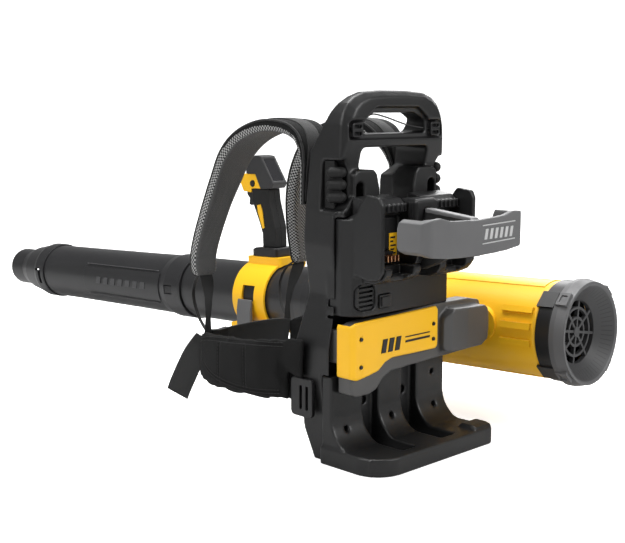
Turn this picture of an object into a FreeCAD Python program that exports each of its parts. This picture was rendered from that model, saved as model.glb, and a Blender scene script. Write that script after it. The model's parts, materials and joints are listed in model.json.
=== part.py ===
import FreeCAD, Part
import math
import os
import Sketcher

# Backpack leaf blower. Millimetres, +Z up, +Y towards the wearer and the nozzle,
# +X to the wearer's right (the blower side). Origin: ground level under the middle
# of the carrying frame, Y = 0 on the frame's main rear face.
# Left and right are the wearer's; rear is -Y.

Vector = FreeCAD.Vector
Rotation = FreeCAD.Rotation
Placement = FreeCAD.Placement

doc = FreeCAD.newDocument("backpack_leaf_blower")
sheet = doc.addObject("Spreadsheet::Sheet", "dims")


# ---- sizes tied to the sheet --------------------------------------------------
class Size:
    """A number together with the sheet expression that gives it."""

    def __init__(self, value, formula):
        self.value = float(value)
        self.formula = formula

    def __add__(self, other):
        return Size(self.value + number(other), "(%s + %s)" % (self.formula, formula(other)))

    def __sub__(self, other):
        return Size(self.value - number(other), "(%s - %s)" % (self.formula, formula(other)))

    def __rsub__(self, other):
        return Size(number(other) - self.value, "(%s - %s)" % (formula(other), self.formula))

    def __neg__(self):
        return Size(-self.value, "(0 - %s)" % self.formula)


def number(size):
    return size.value if isinstance(size, Size) else float(size)


def formula(size):
    return size.formula if isinstance(size, Size) else "%.6f" % float(size)


sheet_rows = []


def dim(alias, value):
    """A driving dimension: one row of the sheet."""
    sheet_rows.append(alias)
    row = len(sheet_rows)
    sheet.set("A%d" % row, alias)
    sheet.set("B%d" % row, str(value))
    sheet.setAlias("B%d" % row, alias)
    return Size(value, "dims." + alias)


def bind(obj, prop, size):
    if isinstance(size, Size):
        obj.setExpression(prop, size.formula)


def assign(obj, prop, size):
    setattr(obj, prop, number(size))
    bind(obj, prop, size)


def locate(obj, x, y, z, rotation=None):
    """Sets an object's place, tied to the sheet where a coordinate is a Size."""
    base = Vector(number(x), number(y), number(z))
    obj.Placement = Placement(base, rotation or Rotation())
    bind(obj, "Placement.Base.x", x)
    bind(obj, "Placement.Base.y", y)
    bind(obj, "Placement.Base.z", z)


# ---- driving dimensions -------------------------------------------------------
frame_top = dim("frame_top", 506.5)
rail_half_top = dim("rail_half_top", 98)
foot_half = dim("foot_half", 124)
foot_reach = dim("foot_reach", 93)
foot_high = dim("foot_high", 25)
foot_corner = dim("foot_corner", 42)
pillar_fillet = dim("pillar_fillet", 44)
pillar_hole_r = dim("pillar_hole_r", 4.2)
pillar_hole_x = dim("pillar_hole_x", 93.2)
pillar_hole_z = dim("pillar_hole_z", 47)
recess_y = dim("recess_y", 17)
window_half = dim("window_half", 63)
win_top_lo = dim("win_top_lo", 448)
win_top_hi = dim("win_top_hi", 476)
win_low_lo = dim("win_low_lo", 366)
win_low_hi = dim("win_low_hi", 430)
dock_lo = dim("dock_lo", 205)
dock_hi = dim("dock_hi", 337)
dock_half = dim("dock_half", 106)
dock_rear = dim("dock_rear", 30)
bay_wide = dim("bay_wide", 71)
bay_gap = dim("bay_gap", 20)
bumper_rear = dim("bumper_rear", 151)
bumper_half = dim("bumper_half", 104)
bumper_lo = dim("bumper_lo", 297)
bumper_hi = dim("bumper_hi", 345)
cover_left = dim("cover_left", 114)
cover_right = dim("cover_right", 64)
cover_rear = dim("cover_rear", 35)
cover_top = dim("cover_top", 200)
cover_low = dim("cover_low", 125)
arm_tip = dim("arm_tip", 180.5)
arm_top = dim("arm_top", 199)
axis_x = dim("axis_x", 257)
axis_z = dim("axis_z", 146.9)
axis_tilt = dim("axis_tilt", 2.0)
axis_yaw = dim("axis_yaw", 1.4)
housing_r = dim("housing_r", 74)
duct_r = dim("duct_r", 70)
guard_r = dim("guard_r", 80.5)
tube_r = dim("tube_r", 60.5)
tube_wall = dim("tube_wall", 2.5)
tip_r = dim("tip_r", 41.5)
overall_front = dim("overall_front", 1390)
clamp_r = dim("clamp_r", 67)
clamp_lo = dim("clamp_lo", 471)
clamp_hi = dim("clamp_hi", 556)
grip_half = dim("grip_half", 15)
pod_half = dim("pod_half", 18)
strap_wide = dim("strap_wide", 62)
strap_thick = dim("strap_thick", 18)
doc.recompute()

SIDES = (-1, 1)  # left, right
NAMED_SIDES = (("left", -1), ("right", 1))
FOUR_CORNERS = (0, 1, 2, 3)

# The blower is built along its own Y axis (the fan axis), then tilted, yawed and moved here.
BLOWER = Placement(
    Vector(axis_x.value, 0, axis_z.value),
    Rotation(Vector(0, 0, 1), axis_yaw.value).multiply(
        Rotation(Vector(1, 0, 0), -axis_tilt.value)))

pieces = []
names_used = []


def unique(base):
    names_used.append(base)
    return "%s_%03d" % (base, len(names_used))


def piece(label, obj):
    """Registers a finished piece for export."""
    obj.Label = label
    pieces.append(obj)


def on_blower(obj):
    obj.Placement = BLOWER.multiply(obj.Placement)
    return obj


def blower_piece(label, obj):
    piece(label, on_blower(obj))


# ---- outlines -----------------------------------------------------------------
def rectangle(x0, x1, y0, y1):
    return [(x0, y0), (x1, y0), (x1, y1), (x0, y1)]


def mirrored(side, points):
    """Points of the right-hand side, flipped to the left when side is -1."""
    return [(side * x, y) for x, y in points]


def symmetric(half):
    """Closed outline from its right half, listed from the bottom up."""
    left = [(-x, y) for x, y in half]
    return [left[0]] + half + left[:0:-1]


def span(side, near, far):
    """Low and high X of a range measured outwards from the middle."""
    return (near, far) if side > 0 else (-far, -near)


def closed_polygon(points):
    return Part.makePolygon(points + [points[0]])


# ---- solids -------------------------------------------------------------------
def outlined_body(plane, points):
    """A body with a closed polygon sketch, each corner tied to the sketch origin."""
    body = doc.addObject("PartDesign::Body", unique("body"))
    sketch = body.newObject("Sketcher::SketchObject", unique("sketch"))
    support = [o for o in body.Origin.OriginFeatures if o.Role == plane + "_Plane"][0]
    sketch.AttachmentSupport = [(support, "")]
    sketch.MapMode = "FlatFace"
    corners = [Vector(number(u), number(v), 0) for u, v in points]
    count = len(corners)
    for i in range(count):
        sketch.addGeometry(Part.LineSegment(corners[i], corners[(i + 1) % count]), False)
    for i in range(count):
        sketch.addConstraint(Sketcher.Constraint("Coincident", i, 2, (i + 1) % count, 1))
    for i in range(count):
        for k, kind, zero_axis in ((0, "DistanceX", -2), (1, "DistanceY", -1)):
            offset = number(points[i][k])
            if abs(offset) < 1e-9:
                sketch.addConstraint(Sketcher.Constraint("PointOnObject", i, 1, zero_axis))
                continue
            index = sketch.addConstraint(Sketcher.Constraint(kind, -1, 1, i, 1, offset))
            bind(sketch, "Constraints[%d]" % index, points[i][k])
    return body, sketch


def corner_edges(shape, plane, across, corners):
    """Names of the straight edges that stand on the given outline corners."""
    names = []
    for index, edge in enumerate(shape.Edges):
        start = edge.Vertexes[0].Point
        run = edge.Vertexes[-1].Point - start
        if run.Length < 1e-6 or abs(abs(getattr(run, across)) / run.Length - 1) > 1e-6:
            continue
        here = [getattr(start, letter) for letter in plane.lower()]
        if any(abs(here[0] - u) < 1e-4 and abs(here[1] - v) < 1e-4 for u, v in corners):
            names.append("Edge%d" % (index + 1))
    return names


def slab(plane, points, low, high, rounds=()):
    """A padded outline. plane is XY, XZ or YZ; low and high bound the third axis.
    rounds lists (fillet radius, corner indices)."""
    body, sketch = outlined_body(plane, points)
    last = body.newObject("PartDesign::Pad", unique("pad"))
    last.Profile = sketch
    assign(last, "Length", high - low)
    # A pad on the XZ plane grows towards -Y, so it starts from its high side.
    across, start = {"XY": ("z", low), "XZ": ("y", high), "YZ": ("x", low)}[plane]
    spot = {"x": 0, "y": 0, "z": 0}
    spot[across] = start
    locate(body, **spot)
    for radius, indices in rounds:
        doc.recompute()
        corners = [(number(points[i][0]), number(points[i][1])) for i in indices]
        edges = corner_edges(last.Shape, plane, across, corners)
        fillet = body.newObject("PartDesign::Fillet", unique("round"))
        fillet.Base = (last, edges)
        assign(fillet, "Radius", radius)
        last = fillet
    if rounds:
        doc.recompute()
    return body


def turned(points):
    """A profile of (radius, y) points revolved about the body's own Y axis."""
    body, sketch = outlined_body("XY", points)
    turn = body.newObject("PartDesign::Revolution", unique("turn"))
    turn.Profile = sketch
    turn.ReferenceAxis = (sketch, ["V_Axis"])
    turn.Angle = 360.0
    return body


def ring(inner, outer, start, end):
    return turned(rectangle(inner, outer, start, end))


def box(x0, x1, y0, y1, z0, z1):
    block = doc.addObject("Part::Box", unique("box"))
    assign(block, "Length", x1 - x0)
    assign(block, "Width", y1 - y0)
    assign(block, "Height", z1 - z0)
    locate(block, x0, y0, z0)
    return block


ROD_TURN = {
    "X": Rotation(Vector(0, 1, 0), 90),
    "Y": Rotation(Vector(1, 0, 0), -90),
    "Z": Rotation(),
}


def rod(axis, radius, x, y, z, length):
    """A cylinder starting at (x, y, z) and running in +axis."""
    cylinder = doc.addObject("Part::Cylinder", unique("rod"))
    assign(cylinder, "Radius", radius)
    assign(cylinder, "Height", length)
    locate(cylinder, x, y, z, ROD_TURN[axis])
    return cylinder


def ball(radius, x, y, z):
    sphere = doc.addObject("Part::Sphere", unique("ball"))
    assign(sphere, "Radius", radius)
    locate(sphere, x, y, z)
    return sphere


def fuse(*objs):
    if len(objs) == 1:
        return objs[0]
    union = doc.addObject("Part::MultiFuse", unique("fuse"))
    union.Shapes = list(objs)
    return union


def cut(base, *tools):
    result = doc.addObject("Part::Cut", unique("cut"))
    result.Base = base
    result.Tool = fuse(*tools)
    return result


def common(first, second):
    result = doc.addObject("Part::Common", unique("common"))
    result.Base = first
    result.Tool = second
    return result


def group(*objs):
    compound = doc.addObject("Part::Compound", unique("group"))
    compound.Links = list(objs)
    return compound


def fixed(name, shape):
    """Wraps a ready-made shape as a document object."""
    feature = doc.addObject("Part::Feature", unique(name))
    feature.Shape = shape
    return feature


def placed(obj, x, y, z, rotation):
    """Turns an object about the origin, then shifts it."""
    obj.Placement = Placement(Vector(x, y, z), rotation).multiply(obj.Placement)
    return obj


def spun(obj, angle):
    """Turns an object about the Y axis."""
    return placed(obj, 0, 0, 0, Rotation(Vector(0, 1, 0), angle))


# ---- carrying frame -----------------------------------------------------------
FRAME_SIDE = [  # y, z
    (18, 0), (40, 0), (60, 40), (72, 110), (72, 160), (57, 232), (62, 306), (55, 425),
    (36, 453), (28, 467), (21, 482), (12, 496), (8, frame_top + 4), (-11, frame_top + 4),
    (-12, 470), (-10, 440), (-2, 405), (0, 344), (18, 338), (18, 190)]
FRAME_FRONT = symmetric([  # x, z
    (112, 0), (112, 60), (119, 110), (119, 160), (110, 205), (106, 232), (108, 262),
    (112, 300), (111, 345), (108, 385), (106, 420), (rail_half_top + 6, 462),
    (rail_half_top + 2, 476), (92, 489), (80, 498), (62, 504), (24, frame_top)])
FINGER_GAP = [(120, 343), (100, 349), (90, 362), (90, 400), (98, 414), (120, 414)]  # x, z
LUG = [  # x, z
    (106, 338), (34, 338), (34, 372), (40, 394), (46, 400), (80, 400), (86, 394), (86, 366),
    (106, 346)]
EDGE_STRIP = [  # x, z
    (119, 122.3), (117, 122.3), (117, 160), (108.5, 205), (106.8, 232), (106.8, 338),
    (111, 340), (112, 300), (108, 262), (107.5, 232), (110, 205), (119, 160)]
# x, z of the screws that join foot and frame, and of two further frame holes
FOOT_SCREWS = ((-pillar_hole_x, pillar_hole_z), (pillar_hole_x, pillar_hole_z), (0, 48.5))
FRAME_HOLES = FOOT_SCREWS + ((-58.3, 75), (58.3, 75))


def bevel_keep():
    """What the wide bevel leaves of the arch: the outline drawn in towards the rear."""
    middle_z = 250
    wires = []
    for y, scale_x, scale_z, grow in ((-14.5, 0.886, 0.953, 0.0), (-2.0, 1.0, 1.0, 0.4)):
        corners = []
        for point in FRAME_FRONT:
            x, z = number(point[0]), number(point[1])
            lift = grow if z > 400 else 0
            corners.append(Vector(x * scale_x + math.copysign(grow, x), y,
                                  middle_z + (z - middle_z) * scale_z + lift))
        wires.append(closed_polygon(corners))
    return fixed("bevel_keep", Part.makeLoft(wires, True, True))


def frame_shell():
    """The hollow arch with its windows."""
    side = slab("YZ", FRAME_SIDE, -130, 130)
    front = slab("XZ", FRAME_FRONT, -60, 120)
    bevel_waste = cut(box(-130, 130, -14.5, -2, 340, 520), bevel_keep())
    arch = cut(common(side, front), bevel_waste)
    top_window = slab("XZ", symmetric([
        (window_half, win_top_lo), (window_half, win_top_lo + 18),
        (window_half - 22, win_top_hi)]), -40, 110, ((5, (0, 1)), (10, (2, 3, 4, 5))))
    top_step = slab("XZ", symmetric([
        (window_half, win_top_lo), (window_half, win_top_lo + 22),
        (window_half - 20, win_top_hi + 8)]), -40, -4)
    low_window = slab("XZ", symmetric([
        (38, win_low_lo - 30), (38, 388), (68, 402), (68, win_low_hi)]),
        -40, 110, ((8, (4, 5)),))
    hollow = slab("XZ", symmetric([
        (94, 30), (100, 110), (100, 160), (88, 215), (85, 232), (92, 300), (90, 330)]), 23, 120)
    strap_band = slab("XZ", symmetric([(93, 441), (96, 446), (96, 461), (91, 466)]), -30, -5)
    foot_gaps = [box(*span(side, 26, 56), -20, 100, -5, 15) for side in SIDES]
    return cut(arch, top_window, top_step, low_window, hollow, strap_band, *foot_gaps)


def back_frame():
    lugs = [slab("XZ", mirrored(side, LUG), -10, 30, ((3, (3,)), (4, (5,)))) for side in SIDES]
    shelf = box(-92, 92, 0, 22, 337.6, 346)
    strips = [slab("XZ", mirrored(side, EDGE_STRIP), 4, 20) for side in SIDES]
    finger_gaps = [slab("XZ", mirrored(side, FINGER_GAP), -20, 30) for side in SIDES]
    lug_slots = [fuse(box(*span(side, 67, 81), -30, 12, 340, 377),
                      rod("Y", 7, side * 74, -30, 377, 42)) for side in SIDES]
    frame = cut(fuse(frame_shell(), *lugs, shelf, *strips), *finger_gaps, *lug_slots)
    return cut(frame, *[rod("Y", 3, x, 10, z, 14) for x, z in FRAME_HOLES])


piece("back_frame", back_frame())


def grip_bumper(side):
    """A finger-shaped bumper let into one rail: a pad with three leaning round-ended bars."""
    radius = 7.4
    x, y = 98.3, 2.5
    run_x, run_y = 6.5, 11.5
    parts = [slab("XZ", mirrored(side, [
        (103, 348.9), (100.5, 349.8), (90.5, 362.4), (90.5, 399.4), (98.5, 413.4),
        (103, 413.4)]), 11, 29.8)]
    for k in range(3):
        z = 365 + 16.5 * k
        lean = Rotation(Vector(0, 0, 1), Vector(side * run_x, run_y, 0))
        bar = rod("Z", radius, 0, 0, 0, math.hypot(run_x, run_y))
        parts.append(placed(bar, side * x, y, z, lean))
        parts.append(ball(radius, side * x, y, z))
        parts.append(ball(radius, side * (x + run_x), y + run_y, z))
    return fuse(*parts)


piece("grip_bumpers", group(*[grip_bumper(side) for side in SIDES]))


def strap_adjuster(side):
    """A two-slot buckle threaded on one end of the strap band."""
    x = side * 80
    plate = slab("XZ", rectangle(x - 10, x + 10, 444, 463), -11, -7, ((3, FOUR_CORNERS),))
    low_slot = box(x - 7, x + 7, -20, 0, 446.5, 451)
    high_slot = box(x - 7, x + 7, -20, 0, 456, 460.5)
    leg = box(x - 10, x + 10, -8, -5.02, 450.5, 456.5)
    return fuse(cut(plate, low_slot, high_slot), leg)


piece("strap_adjusters", group(*[strap_adjuster(side) for side in SIDES]))


# ---- foot moulding ------------------------------------------------------------
def base_foot():
    plate = slab("XY", rectangle(-foot_half, foot_half, -foot_reach, 17), 0, foot_high,
                 ((foot_corner, (0,)), (8, (1,))))
    cells = [box(*span(side, 26, 56), -74, 12, -5, 60) for side in SIDES]
    back_wall = box(-60, 60, recess_y - 4.5, recess_y + 0.5, 16, 122)
    pillar_side = [(-74, 2), (17.5, 2), (17.5, 122), (-1, 122), (-1, foot_high - 2),
                   (-74, foot_high - 2)]
    pillars = [slab("YZ", pillar_side, x0, x1, ((pillar_fillet, (4,)),))
               for x0, x1 in ((-foot_half + 4, -57), (-25, 25), (57, foot_half - 4))]
    corner_pad = slab("YZ", [
        (-foot_reach + 2, 20), (-foot_reach + 5, 29), (-foot_reach + 12, 31), (-62, 31),
        (-56, 24), (-56, 20)], 86, foot_half - 2)
    left, right, middle = FOOT_SCREWS
    holes = []
    for x, z in (left, right, (pillar_hole_x, 96), middle):
        holes.append(rod("Y", pillar_hole_r, x, -20, z, 60))
        holes.append(rod("Y", 7.0, x, 8, z, 60))
    for side in SIDES:
        holes.append(rod("Y", 6, side * 41.3, -20, 75, 60))
    under_frame = box(-130, 130, 17.9, 80, -1, 140)
    solid = fuse(cut(plate, *cells), back_wall, *pillars, corner_pad)
    return cut(cut(solid, *holes), under_frame)


piece("base_foot", base_foot())
piece("foot_screws", group(*[fuse(rod("Y", 6.6, x, 9, z, 4), rod("Y", 2.95, x, 13, z, 10.5))
                             for x, z in FOOT_SCREWS]))

# ---- wearer-side panel, electronics -------------------------------------------
piece("frame_rear_panel", slab("XZ", symmetric([
    (93, 34), (99, 110), (99, 160), (87, 215), (84, 232), (90, 300), (88, 328)]), 50, 54))
piece("control_board", box(-60, 60, 30, 33, 215, 310))

# ---- battery dock -------------------------------------------------------------
CHEEK = [  # y, z
    (-12, 264), (-46, 257), (-62, 258), (-71, 270), (-71, 358), (-66, 368), (-42, 371),
    (-33, 360), (-26, 346), (-12, 340)]
BAY = (bay_gap + 0.5, bay_wide + bay_gap - 0.5)  # x range of the right-hand battery bay


def battery_dock():
    plan = slab("XY", [
        (-dock_half, 17), (-dock_half, -6), (-100, -20), (-88, -dock_rear), (88, -dock_rear),
        (100, -20), (dock_half, -6), (dock_half, 17)], dock_lo, dock_hi)
    cheeks = [slab("YZ", CHEEK, *span(side, 91, 99), ((5, (2, 3, 6)), (6, (4,))))
              for side in SIDES]
    divider = slab("YZ", [
        (-21, 266), (-60, 274), (-65, 282), (-65, 358), (-60, 362), (-36, 362), (-30, 350),
        (-21, 330)], -bay_gap, bay_gap, ((3, (2, 4)),))
    divider_ribs = [box(*span(side, bay_gap - 1.2, bay_gap + 1.2),
                        -61 + 5 * k, -58.6 + 5 * k, 330, 358) for k in range(3) for side in SIDES]
    vent_cut = slab("XZ", rectangle(-97, -64, 214, 250), -60, -12, ((8, (0, 1)), (12, (2, 3))))
    tab_cut = box(-58, -34, -34, -24, 214, 232)
    terminal_cuts = [box(*span(side, 40, 72), -60, -22, 276, 292) for side in SIDES]
    web_slot = box(-6.2, 6.2, -70, -40, 262, 349)
    hollow = box(-70, 70, -10, 30, 212, 330)
    small_hole = rod("Y", 3, -88, -40, 268, 20)
    return cut(fuse(plan, *cheeks, divider, *divider_ribs),
               vent_cut, tab_cut, *terminal_cuts, web_slot, hollow, small_hole)


def vent_grille():
    plate = slab("XZ", rectangle(-96.8, -64.2, 214.2, 249.8), -27, -12.2,
                 ((7.9, (0, 1)), (11.9, (2, 3))))
    slots = [box(-94, -67, -30, -22, 218 + 6.4 * k, 221 + 6.4 * k) for k in range(5)]
    return cut(plate, *slots)


def battery_tray(side):
    """The sloped lip at the bottom of one bay, notched from the rear."""
    lip = slab("YZ", [(-30.2, 252), (-52, 252), (-66, 258), (-72, 266), (-72, 274),
                      (-30.2, 274)], *span(side, *BAY))
    wide_notch = box(*span(side, 34, 78), -80, -46, 262, 290)
    deep_notch = box(*span(side, 42, 70), -80, -58, 240, 290)
    return cut(lip, wide_notch, deep_notch)


def battery_rail(side):
    """The ribbed rail at the top of one bay."""
    rail = slab("YZ", [(-10.2, 337.5), (-30, 337.5), (-44, 344), (-44, 354), (-34, 362),
                       (-10.2, 366)], *span(side, *BAY))
    x = side * 55.5
    ribs = [box(x - 33 + 9 * k, x - 30 + 9 * k, -48, -40, 345, 356) for k in range(8)]
    return fuse(rail, *ribs)


def pin_places(side):
    """X of the four pins of one terminal block."""
    return [side * 56 - 10.5 + 7 * k for k in range(4)]


def terminal_block(side):
    x = side * 56
    block = box(x - 15.8, x + 15.8, -40, -22.2, 276.2, 291.8)
    for pin_x in pin_places(side):
        block = cut(block, box(pin_x - 0.9, pin_x + 0.9, -41, -30, 279, 289))
    return block


piece("battery_dock", battery_dock())
piece("vent_grille", vent_grille())
piece("dock_tab", fuse(box(-57.8, -34.2, -32, -24.2, 214.2, 231.8),
                       box(-55, -38, -34, -32, 217, 229)))
piece("battery_trays", group(*[battery_tray(side) for side in SIDES]))
piece("battery_rails", group(*[battery_rail(side) for side in SIDES]))
piece("terminal_blocks", group(*[terminal_block(side) for side in SIDES]))
piece("terminal_pins", group(*[box(x - 0.8, x + 0.8, -54, -30.2, 280, 288)
                               for side in SIDES for x in pin_places(side)]))


# ---- rear bumper, one moulding with its central web ---------------------------
def battery_bumper():
    plan = slab("XY", [
        (-bumper_half, -101), (-bumper_half, -141), (-95, -bumper_rear), (95, -bumper_rear),
        (bumper_half, -141), (bumper_half, -101), (bumper_half - 9, -101),
        (bumper_half - 9, -137), (89, -143), (-89, -143), (-bumper_half + 9, -137),
        (-bumper_half + 9, -101)], bumper_lo - 8, bumper_hi + 6, ((9, (2, 3)), (6, (1, 4))))
    face = slab("XZ", [
        (-bumper_half, 303), (-94, 297), (-60, 293), (0, 291), (60, 293), (94, 297),
        (bumper_half, 303), (bumper_half, bumper_hi - 5), (94, bumper_hi),
        (76, bumper_hi + 1), (56, 341), (0, 338.5), (-56, 341), (-76, bumper_hi + 1),
        (-94, bumper_hi), (-bumper_half, bumper_hi - 5)], -160, -90)
    end_trim = slab("YZ", [(-101, 306), (-110, 296), (-118, 280), (-160, 280), (-160, 360),
                           (-112, 360), (-101, 333)], -110, 110)
    web = slab("YZ", [(-40.2, 263), (-64, 266), (-90, 276), (-112, 290), (-130, 294),
                      (-145, 294), (-145, 339), (-100, 343), (-40.2, 348)], -6, 6)
    flange = slab("YZ", [(-66, 344), (-145, 337.5), (-145, 341.5), (-66, 349.5)], -7, 7)
    return fuse(common(common(plan, face), end_trim), web, flange)


piece("battery_bumper", battery_bumper())

# ---- arm and its yellow cover -------------------------------------------------
PIVOT = (-20.2, 12.3)  # y, z of the pivot pin, in the blower's own frame
CABLE = (5, 150)  # y, z of the power cable
COVER_SCREWS = ((-97, 177), (-97, 139), (54, 178), (54, 156))  # x, z


def support_arm():
    main = slab("XZ", [
        (-111, 102), (-100, 97), (-74, 97), (-60, 101), (-48, 114), (-30, 122), (60, 125),
        (140, 127), (158, 130), (158, 135), (171, 135), (arm_tip - 2, 147), (arm_tip, 160),
        (arm_tip - 2, 176), (166, arm_top), (140, 204), (60, 205), (-88, 198), (-102, 196),
        (-111, 186)], -29, -6)
    inner_block = box(-109, 60, -6, 16, 140, 186)
    dome_face = slab("XZ", [
        (72, 134), (150, 134), (172, 146), (178, 160), (172, 182), (158, 194), (90, 196),
        (72, 184)], -48, -28, ((8, (0,)), (12, (7,))))
    dome_plan = slab("XY", [(60, -20), (60, -33), (84, -45), (116, -48), (164, -48),
                            (178.5, -39), (178.5, -20)], 100, 220)
    pivot_bore = on_blower(rod("X", 10.0, -105, *PIVOT, 60))
    cable_way = rod("X", 4.2, -60, *CABLE, 130)
    return cut(fuse(main, inner_block, common(dome_face, dome_plan)), pivot_bore, cable_way)


def yellow_cover():
    face = slab("XZ", [
        (-cover_left, cover_low - 1), (-104, cover_low - 4), (-78, cover_low), (-62, 128),
        (-48, 138), (-34, 142), (cover_right - 4, 141), (cover_right, 145),
        (cover_right, cover_top - 2), (cover_right - 4, cover_top + 3), (-100, cover_top),
        (-cover_left, cover_top - 0.5)], -cover_rear, -4, ((3, (0,)), (9, (11,))))
    inside = box(-111.2, 200, -29.2, 10, 100, 230)
    left_bevel = slab("XY", [(-121.5, -43), (-121.5, -22), (-100.5, -43)], 100, 230)
    holes = [rod("Y", 2.6, x, -60, z, 60) for x, z in COVER_SCREWS]
    return cut(face, inside, left_bevel, *holes)


piece("support_arm", support_arm())
piece("power_cable", rod("X", 4, -58, *CABLE, 116))
piece("yellow_cover", yellow_cover())
piece("cover_screws", group(*[rod("Y", 2.5, x, -36.0, z, 6.7) for x, z in COVER_SCREWS]))

# ---- soft goods: closed solids of true outer size -----------------------------
STRAP_PATH = [  # x, y, z of the right strap's middle line, share of the full width
    (92, 71, 352, 0.48), (92, 70, 380, 0.50), (90, 70, 404, 0.56), (84, 75, 428, 0.76),
    (78, 88, 446, 0.96), (76, 110, 456, 1.0), (76, 150, 458, 1.0), (76, 188, 449, 0.98),
    (76, 219, 433, 0.94), (77, 243, 410, 0.86), (78, 262, 378, 0.78), (83, 276, 344, 0.70),
    (90, 285, 310, 0.66), (97, 290, 280, 0.64), (102, 291, 255, 0.63), (103, 288, 230, 0.62)]
BELT_PLAN = [  # x, y of the right hip wing
    (119.6, 42), (126, 42), (128, 78), (139, 120), (138, 180), (130, 236), (116, 280),
    (94, 308), (84, 302), (103, 274), (117, 232), (124, 180), (125, 120), (121, 82)]
BELT_SIDE = [  # y, z
    (40, 116), (73.8, 116), (73.8, 76), (95, 73), (181, 66), (258, 67), (298, 78), (311, 96),
    (311, 124), (300, 136), (274, 145), (158, 158), (64, 173), (40, 176)]


def shoulder_strap(side):
    """A padded strap lofted through rectangles square to its path."""
    points = [Vector(side * x, y, z) for x, y, z, share in STRAP_PATH]
    wires = []
    for i, point in enumerate(points):
        along = points[min(i + 1, len(points) - 1)] - points[max(i - 1, 0)]
        along.normalize()
        across = Vector(1, 0, 0) - along * along.x
        across.normalize()
        half_wide = across * (strap_wide.value * STRAP_PATH[i][3] / 2)
        half_thick = along.cross(across) * (strap_thick.value / 2)
        wires.append(closed_polygon([
            point - half_wide - half_thick, point + half_wide - half_thick,
            point + half_wide + half_thick, point - half_wide + half_thick]))
    return fixed("strap_solid", Part.makeLoft(wires, True, True))


def hip_belt(side):
    return common(slab("XY", mirrored(side, BELT_PLAN), 62, 180),
                  slab("YZ", BELT_SIDE, -150, 150))


def belt_loop(side):
    """A rounded side plate with two slots."""
    plate = slab("YZ", rectangle(30, 72, 60, 114), *span(side, 119.3, 126),
                 ((6, FOUR_CORNERS),))
    return cut(plate, box(-140, 140, 38, 43, 70, 104), box(-140, 140, 50, 55, 70, 104))


def harness_webbing():
    tail = slab("YZ", [(304, 142), (320, 146), (344, 126), (360, 92), (366, 48), (334, 40),
                       (330, 74), (318, 100), (304, 114)], -86, -83.5)
    front_bands = [box(x0, x1, 303.5, 307, 98, 138) for x0, x1 in ((-43.5, 83), (-82.8, -78.5))]
    strap_webs = [slab("YZ", [(286, 221), (290, 221), (304, 190), (305, 150), (302, 150),
                              (300, 188)], *span(side, 74, 94)) for side in SIDES]
    return group(tail, *front_bands, *strap_webs)


piece("back_pad", slab("YZ", [(54.2, 130), (66, 120), (74, 132), (76, 200), (76, 300),
                              (70, 332), (54.2, 326)], -84, 84))
for name, side in NAMED_SIDES:
    piece("shoulder_strap_" + name, shoulder_strap(side))
    piece("hip_belt_" + name, hip_belt(side))
piece("belt_loops", group(*[belt_loop(side) for side in SIDES]))
piece("belt_buckle", group(slab("XZ", [(-78, 97), (-62, 99), (-44, 97), (-44, 139), (-62, 137),
                                       (-78, 139)], 301, 311)))
piece("harness_webbing", harness_webbing())


# ---- blower: everything below is built along the fan axis ---------------------
def intake_guard():
    """Outer ring with eight spokes, two inner rings, a hub and four pads."""
    rim = turned([
        (47.5, -134), (50.5, -134), (50.5, -138), (73, -158), (74.5, -142.2),
        (guard_r, -142.2), (guard_r, -150), (guard_r - 2, -158), (77, -165), (73, -165),
        (71, -163.5), (47.5, -141)])
    pad_circle_r = 79.5
    pads = []
    for k in range(4):
        angle = 45 + 90 * k
        turn = math.radians(angle)
        pad = cut(box(-11, 11, -9, 9, -3, 3), box(-6, 6, -5, 5, 1.5, 5))
        pads.append(placed(pad, pad_circle_r * math.cos(turn), -153,
                           pad_circle_r * math.sin(turn), Rotation(Vector(0, 1, 0), 90 - angle)))
    spokes = [spun(box(6, 48.5, -140, -134, -2.0, 2.0), 45 * k + 10) for k in range(8)]
    rings = [ring(inner, inner + 4, -140, -134) for inner in (19, 34)]
    hub = rod("Y", 8, 0, -141, 0, 7.5)
    return fuse(rim, hub, *spokes, *rings, *pads)


def intake_collar():
    collar = turned([(duct_r, -142), (76, -142), (76.5, -138), (76.5, -117), (duct_r, -114)])
    clips = [spun(box(-14, 14, -140, -112, 74, 78), angle) for angle in (-45, 45, 135, 225)]
    return cut(fuse(collar, *clips), rod("Y", housing_r + 0.1, 0, -116, 0, 10))


def fan_housing():
    """Both housing halves in one, before the split at X = 0."""
    outside = turned([(0, -114), (housing_r - 1, -114), (housing_r, -110), (housing_r, 200),
                      (housing_r - 8, 232), (0, 232)])
    duct = turned([(0, -120), (duct_r, -120), (duct_r, 196), (duct_r - 3, 216), (61.1, 226),
                   (61.1, 240), (0, 240)])
    side_ribs = [spun(box(-78, -70, -107, -54, -5, 5), angle) for angle in (30, 11, -8)]
    boss = rod("X", 26, -76.2, -20, 11.1, 12)
    seam_ribs = [common(ring(71.5, 75.2, -104, 190), box(-30, 30, -110, 195, z, z + 20))
                 for z in (60, -80)]
    pivot_hole = rod("X", 10.05, -90, *PIVOT, 19)
    return cut(fuse(outside, boss, *side_ribs, *seam_ribs), duct, pivot_hole)


def motor_pod():
    """The motor's cup with seven vanes out to the duct."""
    pod = turned([(0, 20), (20, 20), (29, 30), (31, 44), (31, 150), (27, 150), (27, 46),
                  (24, 38), (8.02, 38), (8.02, 30), (0, 30)])
    pod = cut(pod, rod("Y", 4.3, 0, 10, 0, 30))
    vanes = [spun(box(30, duct_r - 0.02, 60, 140, -1.2, 1.2), 360.0 * k / 7 + 12)
             for k in range(7)]
    return fuse(pod, *vanes)


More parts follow.
